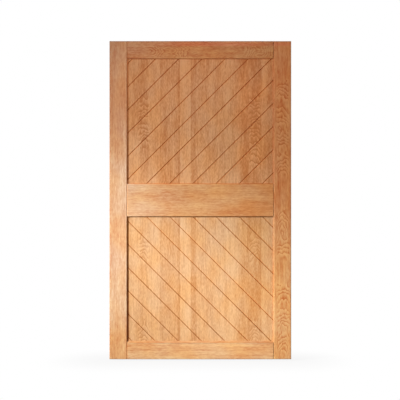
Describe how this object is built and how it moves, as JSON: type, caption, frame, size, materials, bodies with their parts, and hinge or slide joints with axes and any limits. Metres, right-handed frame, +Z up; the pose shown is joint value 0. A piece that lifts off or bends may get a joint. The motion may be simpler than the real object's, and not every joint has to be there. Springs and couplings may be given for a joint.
{
  "type": "barn door",
  "caption": "Tall framed barn door leaf in satin oak with recessed panels above and below a wide middle rail, their diagonal V-grooves mirrored about it, hung by its top edge.",
  "frame": {"origin": "middle of the top edge, on the flat top face, where the leaf hangs", "axes": "+X to the right of the front face, +Y to the back, +Z up"},
  "size_m": [1.219, 0.035, 2.134],
  "materials": {
    "stile_oak": "satin lacquered oak, grain upright",
    "rail_oak": "satin lacquered oak, grain level",
    "panel_oak": "satin lacquered oak, upright leaves, grooved"
  },
  "bodies": {
    "root": {"left_stile": "stile_oak", "right_stile": "stile_oak", "top_rail": "rail_oak", "middle_rail": "rail_oak", "bottom_rail": "rail_oak", "upper_panel": "panel_oak", "lower_panel": "panel_oak"}
  },
  "joints": []
}
